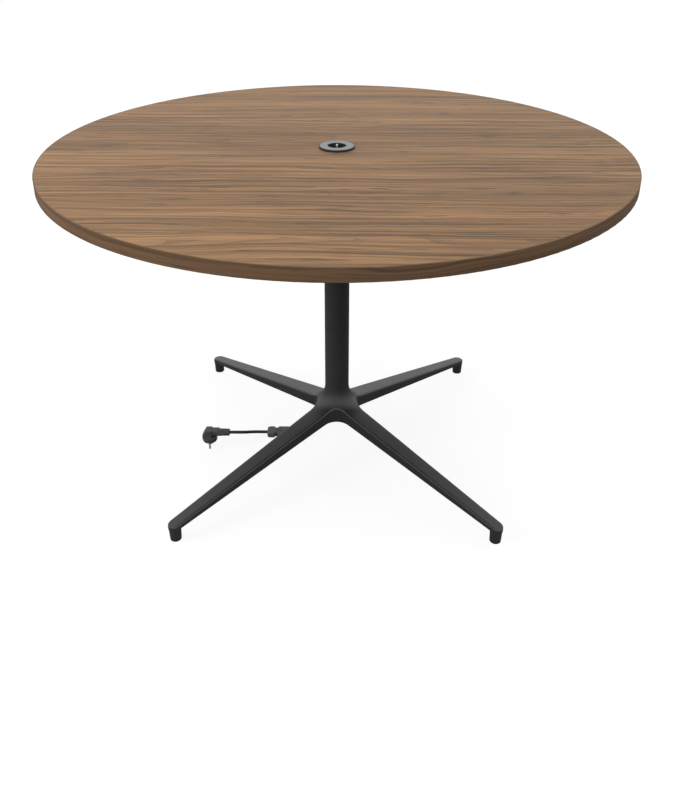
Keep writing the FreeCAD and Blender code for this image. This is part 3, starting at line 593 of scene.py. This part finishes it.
COLUMN_COLOUR = rgb(66, 66, 67)
COLUMN_SPECULAR = 0.12
ZINC_COLOUR = rgb(190, 192, 196)
HUB_FADE = CoatFade(heights=(0.135, 0.172), colour=COLUMN_COLOUR, specular=COLUMN_SPECULAR)
ALL_FINISHES: tuple[WalnutFinish | GrainyFinish, ...] = (
    WalnutFinish("top_walnut", Grain.ALONG_X, pale=rgb(178, 136, 94), plain=rgb(153, 115, 79),
                 shade=rgb(118, 91, 63), streak=rgb(62, 50, 36)),
    WalnutFinish("band_walnut", Grain.ROUND_EDGE, pale=rgb(138, 108, 82), plain=rgb(128, 99, 74),
                 shade=rgb(111, 86, 64), streak=rgb(92, 73, 55)),
    GrainyFinish("core_board", rgb(176, 146, 110), spread=0.25, roughness=0.85, texture_scale=420.0,
                 texture_strength=0.5),
    GrainyFinish("casting_coat", rgb(38, 38, 39), spread=0.05, roughness=0.4, roughness_spread=0.03,
                 texture_strength=0.05, specular=0.9, fade=HUB_FADE),
    GrainyFinish("column_coat", COLUMN_COLOUR, spread=0.06, roughness=0.42, roughness_spread=0.04,
                 texture_strength=0.06, specular=COLUMN_SPECULAR),
    GrainyFinish("bright_zinc", ZINC_COLOUR, roughness=0.32, metallic=1.0),
    GrainyFinish("threaded_zinc", ZINC_COLOUR, roughness=0.32, metallic=1.0, thread_pitch=0.00125),
    GrainyFinish("black_plastic", rgb(40, 40, 42), roughness=0.55, texture_strength=0.2),
    GrainyFinish("satin_trim", rgb(129, 130, 131), spread=0.06, roughness=0.42, texture_strength=0.08,
                 specular=0.3),
    GrainyFinish("plug_plastic", rgb(88, 88, 89), roughness=0.6, texture_strength=0.2, specular=0.3),
    # The coupler's plastic is the plug's plastic painted paler, as painted light for the sky that its flat
    # top catches
    GrainyFinish("coupler_plastic_painted_light", rgb(106, 106, 107), roughness=0.6, texture_strength=0.2, specular=0.3),
    GrainyFinish("plated_brass", rgb(205, 203, 196), roughness=0.28, metallic=1.0),
    GrainyFinish("satin_nickel", rgb(214, 213, 210), roughness=0.34, metallic=0.6),
    GrainyFinish("cord_jacket", rgb(54, 54, 56), texture_strength=0.1, texture_scale=900.0),
)
FINISHES = {finish.name: finish for finish in ALL_FINISHES}


class Palette:
    """Materials of the table, made once each."""

    def __init__(self) -> None:
        """Start with no material made."""
        self.made: dict[str, bpy.types.Material] = {}

    def get(self, name: str) -> bpy.types.Material:
        """Material of a finish.

        Args:
            name: Name of the finish.

        Returns:
            The material.
        """
        if name not in self.made:
            self.made[name] = FINISHES[name].make()
        return self.made[name]

    def dress(self, piece: bpy.types.Object, name: str) -> None:
        """Give a piece one finish all over."""
        piece.data.materials.clear()
        piece.data.materials.append(self.get(name))


class Workshop:
    """Makes, places and reports the scene's own pieces, which all ride on the table."""

    def __init__(self, palette: Palette) -> None:
        """Keep the palette for the pieces."""
        self.palette = palette

    def place(self, name: str, data: bpy.types.ID, finish: str, slot: Slot) -> bpy.types.Object:
        """Put a mesh or curve into the scene as a piece.

        Args:
            name: Name of the piece.
            data: Its mesh or curve.
            finish: Name of its finish.
            slot: Record slot that it belongs to; not used.

        Returns:
            The new object.
        """
        made = bpy.data.objects.new(name, data)
        bpy.context.scene.collection.objects.link(made)
        self.palette.dress(made, finish)
        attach(made, TABLE_BODY)
        LOG.info("piece %s", name)
        return made

    def piece(self, name: str, mesh: bmesh.types.BMesh, finish: str, slot: Slot) -> bpy.types.Object:
        """Turn a bmesh into a piece.

        Args:
            name: Name of the piece.
            mesh: The finished bmesh, freed here.
            finish: Name of its finish.
            slot: Record slot that it belongs to.

        Returns:
            The new object.
        """
        bmesh.ops.remove_doubles(mesh, verts=mesh.verts, dist=PIECE_MERGE)
        bmesh.ops.recalc_face_normals(mesh, faces=mesh.faces)
        for face in mesh.faces:
            face.smooth = True
        for edge in mesh.edges:
            edge.smooth = edge.is_manifold and edge.calc_face_angle(0.0) < SHARP_ANGLE
        data = bpy.data.meshes.new(name)
        mesh.to_mesh(data)
        mesh.free()
        return self.place(name, data, finish, slot)


def turned_profile(profile: Iterable[Span]) -> bmesh.types.BMesh:
    """Closed solid of revolution about Z.

    Args:
        profile: Radius and height of each corner, from the axis round to the axis.

    Returns:
        The turned bmesh.
    """
    mesh = bmesh.new()
    verts = [mesh.verts.new((radius, 0.0, height)) for radius, height in profile]
    edges = [mesh.edges.new(pair) for pair in zip(verts, verts[1:])]
    bmesh.ops.spin(mesh, geom=verts + edges, cent=(0, 0, 0), axis=(0, 0, 1),
                   angle=math.tau, steps=TURN_STEPS, use_merge=True)
    bmesh.ops.remove_doubles(mesh, verts=mesh.verts, dist=TURN_MERGE)
    return mesh


@dataclass
class Assembly:
    """Group of the part's solids that are built and dressed together."""

    nodes: Nodes
    finishes: ClassVar[NodesByFinish] = {}

    def build(self, workshop: Workshop) -> None:
        """Make the group's own pieces, if it has any."""

    def dress(self, palette: Palette) -> None:
        """Give each solid of the group its finish.

        Args:
            palette: Materials.
        """
        for finish, names in self.finishes.items():
            for name in names:
                palette.dress(self.nodes[name], finish)


@dataclass
class TableTop(Assembly):
    """Veneered top with its edge band."""

    finishes: ClassVar[NodesByFinish] = {
        "top_walnut": ("top_veneer", "backing_veneer"),
        "band_walnut": ("edge_band",),
        "core_board": ("top_core",),
        "bright_zinc": ("threaded_inserts",),
    }


@dataclass
class Pedestal(Assembly):
    """Support dish, column, cast base and glides."""

    finishes: ClassVar[NodesByFinish] = {
        "column_coat": ("support_dish", "column_tube"),
        "casting_coat": ("base_casting",),
        "bright_zinc": ("dish_screws",),
        "black_plastic": tuple(f"glide_pad_{corner}" for corner in CORNERS),
        "threaded_zinc": tuple(f"glide_stud_{corner}" for corner in CORNERS),
    }
    screw_count: int = 8
    screw_phase: float = 0.5
    screw_circle: float = 0.26
    # Size of the thin dark hexagons painted as the shade of the screws' recesses
    recess_sides: int = 6
    recess_radius: float = 0.0026
    recess_depth: float = 0.0002

    def build(self, workshop: Workshop) -> None:
        """Make the dark hexagons painted on the screws' heads as the shade of their recesses."""
        workshop.piece("painted_recess_shades", self.painted_recess_shades(), "black_plastic", Slot.ZINC)

    def painted_recess_shades(self) -> bmesh.types.BMesh:
        """Thin dark hexagons on the heads of the dish's screws, painted shade in place of their recesses.

        Returns:
            The bmesh of all the painted hexagons.
        """
        head_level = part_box("dish_screws")[0].z
        mesh = bmesh.new()
        for index in range(self.screw_count):
            angle = math.tau * (index + self.screw_phase) / self.screw_count
            place = Vector((self.screw_circle * math.cos(angle),
                            self.screw_circle * math.sin(angle), head_level))
            bmesh.ops.create_cone(mesh, cap_ends=True, segments=self.recess_sides,
                                  radius1=self.recess_radius, radius2=self.recess_radius,
                                  depth=self.recess_depth, matrix=Matrix.Translation(place))
        return mesh


@dataclass
class PowerSocket(Assembly):
    """Round socket in the middle of the top."""

    finishes: ClassVar[NodesByFinish] = {
        "black_plastic": ("socket_housing", "socket_insert", "contact_carrier", "pin_shutter", "clamp_ring"),
        "plated_brass": ("contact_sleeves",),
        "satin_nickel": ("earth_pin",),
        "satin_trim": ("trim_ring",),
    }


@dataclass
class SupplyLead(Assembly):
    """Feed, gland, coiled cord, in-line coupler and angled plug."""

    finishes: ClassVar[NodesByFinish] = {
        # The coupler's finish is the plug's plastic painted paler, as painted light on its flat top
        "coupler_plastic_painted_light": ("coupler_plug", "coupler_socket", "coupler_latch"),
        "plug_plastic": ("plug_body", "plug_sleeve"),
        "satin_nickel": ("plug_pins", "plug_earth_clips"),
        "black_plastic": ("cable_gland", "cord_tie"),
        "cord_jacket": ("gland_relief", "feed_cable", "cord_drop", "cord_coil", "cord_lead", "cord_tail"),
    }
    cord_diameter: float = 0.0076
    cord_bevel_steps: int = 5
    cord_run_steps: int = 6
    cord_order: int = 3
    spout_slope: float = 30.0
    relief_length: float = 0.024
    relief_root: float = 0.0075
    relief_tip: float = 0.0052
    sleeve_root: float = 0.0094
    sleeve_tip: float = 0.0088
    sleeve_edge: float = 0.0008
    rib_count: int = 5
    rib_start: float = 0.24
    rib_zone: float = 0.7
    rib_groove: float = 0.0008
    groove_shape: tuple[Span, ...] = ((0.0, 0.0), (0.15, 1.0), (0.45, 1.0), (0.6, 0.0))
    grip_count: int = 5
    grip_zone: float = 0.45
    grip_size: Point = (0.0011, 0.0075, 0.0007)
    grip_round: float = 0.3
    grip_round_steps: int = 2
    end_run: float = 0.022
    coil_centre: Span = (0.0, 0.176)
    coil_outer_radius: float = 0.0525
    coil_gap: float = 0.0006
    coil_level: float = 0.0052
    coil_turns_per_layer: float = 2.5
    coil_half_climb: float = 0.25
    coil_points_per_turn: int = 16
    drop_route: tuple[Point, ...] = (
        (0.008, 0.080, 0.035), (0.024, 0.101, 0.018), (0.042, 0.123, 0.0075))
    lead_route: tuple[Point, ...] = (
        (-0.0545, 0.123, 0.0085), (-0.0575, 0.100, 0.0044), (-0.057, 0.0638, 0.0043),
        (-0.0627, 0.0499, 0.0049), (-0.0733, 0.0393, 0.0061), (-0.0872, 0.0336, 0.00715))
    tail_route: tuple[Point, ...] = (
        (-0.1916, 0.0336, 0.00715), (-0.2068, 0.0271, 0.0117), (-0.2167, 0.0155, 0.0197),
        (-0.2192, -0.0004, 0.0306), (-0.2291, -0.0120, 0.0386), (-0.2443, -0.0185, 0.04315))
    coupler_y: float = 0.0336
    coupler_z: float = 0.00715

    def build(self, workshop: Workshop) -> None:
        """Lay the two cords in place of their solids, with the pieces on them.

        Args:
            workshop: Makes the pieces.
        """
        details = self.build_details(workshop)
        main_points = self.main_route()
        main_cord = self.cord("supply_cord", main_points, workshop)
        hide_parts("cord_drop", "cord_coil", "cord_lead")
        tail_points = self.tail_line()
        tail_cord = self.cord("plug_cord", tail_points, workshop)
        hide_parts("cord_tail")

    def build_details(self, workshop: Workshop) -> Nodes:
        """Make the flexible sleeves and the latch's ridges.

        Args:
            workshop: Makes the pieces.

        Returns:
            The pieces that go with a cord, by name.
        """
        tip, heading = self.exit_line()
        relief_mesh = self.ribbed_sleeve(self.relief_length, self.relief_root, self.relief_tip,
                                         tip - heading * self.relief_length, heading)
        relief = workshop.piece("relief_sleeve", relief_mesh, "cord_jacket", Slot.JACKET)
        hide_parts("gland_relief")
        low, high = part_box("plug_sleeve")
        start = Vector((low.x, (low.y + high.y) / 2, (low.z + high.z) / 2))
        sleeve_mesh = self.ribbed_sleeve(high.x - low.x, self.sleeve_root, self.sleeve_tip,
                                         start, Vector((1.0, 0.0, 0.0)))
        sleeve = workshop.piece("plug_relief", sleeve_mesh, "plug_plastic", Slot.PLUG)
        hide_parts("plug_sleeve")
        grips = workshop.piece("latch_grips", self.latch_grips(), "coupler_plastic_painted_light", Slot.PLUG)
        return {"plug_relief": sleeve, "latch_grips": grips}

    def exit_line(self) -> tuple[Vector, Vector]:
        """Point where the cord leaves the gland's relief, and its heading there.

        Returns:
            Exit point and unit heading.
        """
        slope = math.radians(self.spout_slope)
        heading = Vector((0.0, math.cos(slope), -math.sin(slope)))
        low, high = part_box("gland_relief")
        tip = Vector((0.0, high.y - self.relief_tip * math.sin(slope),
                      low.z + self.relief_tip * math.cos(slope)))
        return tip, heading

    def coil_points(self) -> list[Vector]:
        """Points of the coil's turns, in on the lower layer and out on the upper one.

        Returns:
            Points from the coil's start to its end.
        """
        per_turn = self.coil_points_per_turn
        pitch = self.cord_diameter + self.coil_gap
        middle = round(per_turn * (self.coil_turns_per_layer + self.coil_half_climb))
        climb = 2 * per_turn * self.coil_half_climb
        points = []
        for step in range(2 * middle + 1):
            from_middle = abs(step - middle)
            radius = self.coil_outer_radius - pitch / per_turn * (middle - from_middle)
            share = min(1.0, max(0.0, (step - middle) / climb + 0.5))
            eased = share * share * (3 - 2 * share)
            angle = math.tau * step / per_turn
            points.append(Vector((self.coil_centre[0] + radius * math.cos(angle),
                                  self.coil_centre[1] + radius * math.sin(angle),
                                  self.coil_level + pitch * eased)))
        return points

    def main_route(self) -> list[Vector]:
        """Route of the cord from the gland through the coil to the coupler.

        Returns:
            Control points of the cord.
        """
        start, heading = self.exit_line()
        coil = self.coil_points()
        run = Vector((0.0, self.end_run, 0.0))
        straight = Vector((0.0, self.cord_diameter, 0.0))
        end = Vector((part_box("coupler_socket")[1].x, self.coupler_y, self.coupler_z))
        return [start, start + heading * self.end_run, *map(Vector, self.drop_route),
                coil[0] - straight - run, coil[0] - straight, *coil,
                coil[-1] - straight, coil[-1] - straight - run, *map(Vector, self.lead_route), end]

    def tail_line(self) -> list[Vector]:
        """Route of the cord from the coupler to the plug.

        Returns:
            Control points of the cord.
        """
        start = Vector((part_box("coupler_plug")[0].x, self.coupler_y, self.coupler_z))
        low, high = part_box("plug_sleeve")
        end = Vector((high.x, (low.y + high.y) / 2, (low.z + high.z) / 2))
        return [start, *map(Vector, self.tail_route), end]

    def cord(self, name: str, points: Sequence[Vector], workshop: Workshop) -> bpy.types.Object:
        """Round cord on a smooth spline.

        Args:
            name: Name of the piece.
            points: Control points of its route.
            workshop: Places the piece.

        Returns:
            The cord object.
        """
        data = bpy.data.curves.new(name, "CURVE")
        data.dimensions = "3D"
        data.bevel_depth = self.cord_diameter / 2
        data.bevel_resolution = self.cord_bevel_steps
        data.resolution_u = self.cord_run_steps
        data.use_fill_caps = True
        spline = data.splines.new("NURBS")
        spline.points.add(len(points) - 1)
        for spot, place in zip(spline.points, points):
            spot.co = (*place, 1.0)
        spline.order_u = self.cord_order
        spline.use_endpoint_u = True
        return workshop.place(name, data, "cord_jacket", Slot.JACKET)

    def ribbed_sleeve(self, length: float, root: float, tip: float,
                      start: Vector, heading: Vector) -> bmesh.types.BMesh:
        """Tapered flexible sleeve with grooves round it.

        Args:
            length: Length of the sleeve.
            root: Radius where it leaves its housing.
            tip: Radius where the cord comes out.
            start: Middle of its root.
            heading: Unit heading of the cord.

        Returns:
            The placed bmesh.
        """
        pitch = length * self.rib_zone / self.rib_count
        profile = [(0.0, 0.0), (root, 0.0)]
        for index in range(self.rib_count):
            for share, depth in self.groove_shape:
                height = length * self.rib_start + pitch * (index + share)
                radius = root + (tip - root) * height / length
                profile.append((radius - depth * self.rib_groove, height))
        profile += [(tip, length - self.sleeve_edge), (tip - self.sleeve_edge, length), (0.0, length)]
        mesh = turned_profile(profile)
        turn = heading.to_track_quat("Z", "Y").to_matrix().to_4x4()
        bmesh.ops.transform(mesh, matrix=Matrix.Translation(start) @ turn, verts=mesh.verts)
        return mesh

    def latch_grips(self) -> bmesh.types.BMesh:
        """Small rounded ridges across the coupler's latch.

        Returns:
            The bmesh of all ridges.
        """
        low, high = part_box("coupler_latch")
        mesh = bmesh.new()
        pitch = (high.x - low.x) * self.grip_zone / self.grip_count
        size = Matrix.Diagonal((*self.grip_size, 1.0))
        for index in range(self.grip_count):
            place = Vector((low.x + pitch * (index + 1), (low.y + high.y) / 2, high.z))
            bmesh.ops.create_cube(mesh, size=1.0, matrix=Matrix.Translation(place) @ size)
        bmesh.ops.bevel(mesh, geom=mesh.edges[:], offset=self.grip_size[2] * self.grip_round,
                        segments=self.grip_round_steps, profile=0.5, affect="EDGES", material=-1)
        return mesh


@dataclass(frozen=True)
class Lamp:
    """Round soft lamp that points at a spot."""

    name: str
    place: Point
    aim: Point
    size: float
    power: float


@dataclass
class Studio:
    """Camera, floor, light and background."""

    focal_pixels: float = 822.69
    camera_distance: float = 1.6631
    camera_height: float = 1.2347
    camera_pitch: float = 0.45963
    camera_yaw: float = 0.01036
    centre_column: float = 336.94
    centre_row: float = 293.80
    sensor: float = 36.0
    view_depth: float = 50.0
    floor_size: float = 14.0
    floor_colour: Colour = (0.2, 0.2, 0.2, 1.0)
    floor_roughness: float = 0.9
    floor_glow: float = 0.86
    floor_shine: float = 0.05
    dome_span: Span = (-0.1, 1.0)
    dome_glow: Span = (0.02, 1.36)
    lamps: tuple[Lamp, ...] = (
        Lamp("key_lamp", (-2.7, -0.9, 1.5), aim=(0.0, 0.0, 0.4), size=1.4, power=28.0),
        Lamp("fill_lamp", (-0.3, -1.6, 2.9), aim=(0.0, 0.0, 0.1), size=1.6, power=4.0),
    )

    def build(self) -> None:
        """Set up the whole studio."""
        self.add_camera()
        self.add_floor()
        self.add_lights()
        self.add_world()

    def add_camera(self) -> None:
        """Camera at the photograph's viewing angle."""
        data = bpy.data.cameras.new("camera")
        data.sensor_width = self.sensor
        data.lens = self.focal_pixels * self.sensor / IMAGE_HEIGHT
        data.shift_x = (IMAGE_WIDTH / 2 - self.centre_column) / IMAGE_HEIGHT
        data.shift_y = (self.centre_row - IMAGE_HEIGHT / 2) / IMAGE_HEIGHT
        data.clip_end = self.view_depth
        camera = bpy.data.objects.new("camera", data)
        camera.location = (self.camera_distance * math.sin(self.camera_yaw),
                           -self.camera_distance * math.cos(self.camera_yaw), self.camera_height)
        camera.rotation_euler = (math.pi / 2 - self.camera_pitch, 0.0, self.camera_yaw)
        bpy.context.scene.collection.objects.link(camera)
        bpy.context.scene.camera = camera

    def add_floor(self) -> None:
        """Grey floor that keeps a soft shadow and glows white to the camera."""
        mesh = bmesh.new()
        bmesh.ops.create_grid(mesh, x_segments=2, y_segments=2, size=self.floor_size / 2)
        data = bpy.data.meshes.new("floor")
        mesh.to_mesh(data)
        mesh.free()
        floor = bpy.data.objects.new("floor", data)
        bpy.context.scene.collection.objects.link(floor)
        pen = MaterialPen("floor_white")
        pen.set("Base Color", self.floor_colour)
        pen.set("Roughness", self.floor_roughness)
        pen.set("Specular IOR Level", 0.0)
        rays = pen.add("ShaderNodeLightPath").outputs
        mirrored = pen.math("MAXIMUM", rays["Is Glossy Ray"], rays["Is Transmission Ray"])
        dimmed = pen.math("MULTIPLY", mirrored, self.floor_shine)
        seen = pen.math("MAXIMUM", rays["Is Camera Ray"], dimmed)
        pen.set("Emission Color", WHITE)
        pen.set("Emission Strength", pen.math("MULTIPLY", seen, self.floor_glow))
        data.materials.append(pen.material)

    def add_lights(self) -> None:
        """Large soft lamps above the table, which leave no mirror highlights on it."""
        for one in self.lamps:
            data = bpy.data.lights.new(one.name, "AREA")
            data.shape = "DISK"
            data.size = one.size
            data.energy = one.power
            lamp = bpy.data.objects.new(one.name, data)
            lamp.visible_glossy = False
            lamp.location = one.place
            lamp.rotation_euler = (Vector(one.aim) - Vector(one.place)).to_track_quat("-Z", "Y").to_euler()
            bpy.context.scene.collection.objects.link(lamp)

    def add_world(self) -> None:
        """White background to the camera and in reflections, soft light elsewhere."""
        world = bpy.data.worlds.new("studio")
        world.use_nodes = True
        pen = TreePen(world.node_tree)
        back = world.node_tree.nodes["Background"]
        rays = pen.add("ShaderNodeLightPath").outputs
        mirrored = pen.math("MAXIMUM", rays["Is Glossy Ray"], rays["Is Transmission Ray"])
        seen = pen.math("MAXIMUM", rays["Is Camera Ray"], mirrored)
        height = pen.split(pen.add("ShaderNodeTexCoord").outputs["Generated"])[2]
        dome = pen.span(height, self.dome_span, self.dome_glow)
        pen.feed(WHITE, back.inputs["Color"])
        pen.feed(pen.span(seen, FULL_RANGE, (dome, 1.0)), back.inputs["Strength"])
        bpy.context.scene.world = world
        bpy.context.scene.view_settings.view_transform = "Standard"


def main() -> None:
    """Dress the frame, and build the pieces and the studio."""
    logging.basicConfig(level=logging.INFO, format="%(message)s")
    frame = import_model()
    nodes = frame["nodes"]
    palette = Palette()
    workshop = Workshop(palette)
    Studio().build()
    assemblies = (TableTop(nodes), Pedestal(nodes), PowerSocket(nodes), SupplyLead(nodes))
    for assembly in assemblies:
        assembly.build(workshop)
    for assembly in assemblies:
        assembly.dress(palette)
        LOG.info("dressed %s", type(assembly).__name__)


if __name__ == "__main__":
    main()
